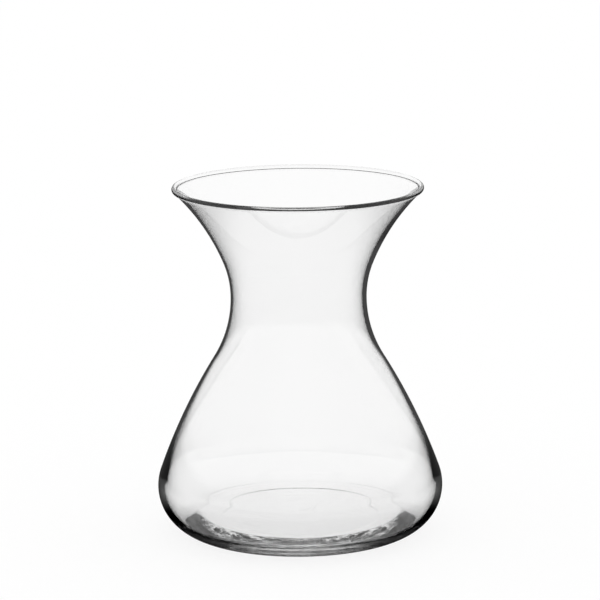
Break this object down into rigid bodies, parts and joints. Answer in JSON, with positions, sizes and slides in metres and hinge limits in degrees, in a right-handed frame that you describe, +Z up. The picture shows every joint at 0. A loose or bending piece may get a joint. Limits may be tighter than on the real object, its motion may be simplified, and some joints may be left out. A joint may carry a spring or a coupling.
{
  "type": "bulb vase",
  "caption": "Clear blown glass vase with a flared mouth, narrow waist, wide rounded belly and thick base, for growing a flower bulb over water.",
  "frame": {"origin": "centre of the ring that the foot stands on, on the table", "axes": "+Z up along the vase's axis of revolution, X and Y across it"},
  "size_m": [0.1464, 0.1464, 0.18],
  "materials": {
    "clear_glass": "clear, smooth, fire-polished"
  },
  "bodies": {
    "root": {"glass_vase": "clear_glass"}
  },
  "joints": []
}
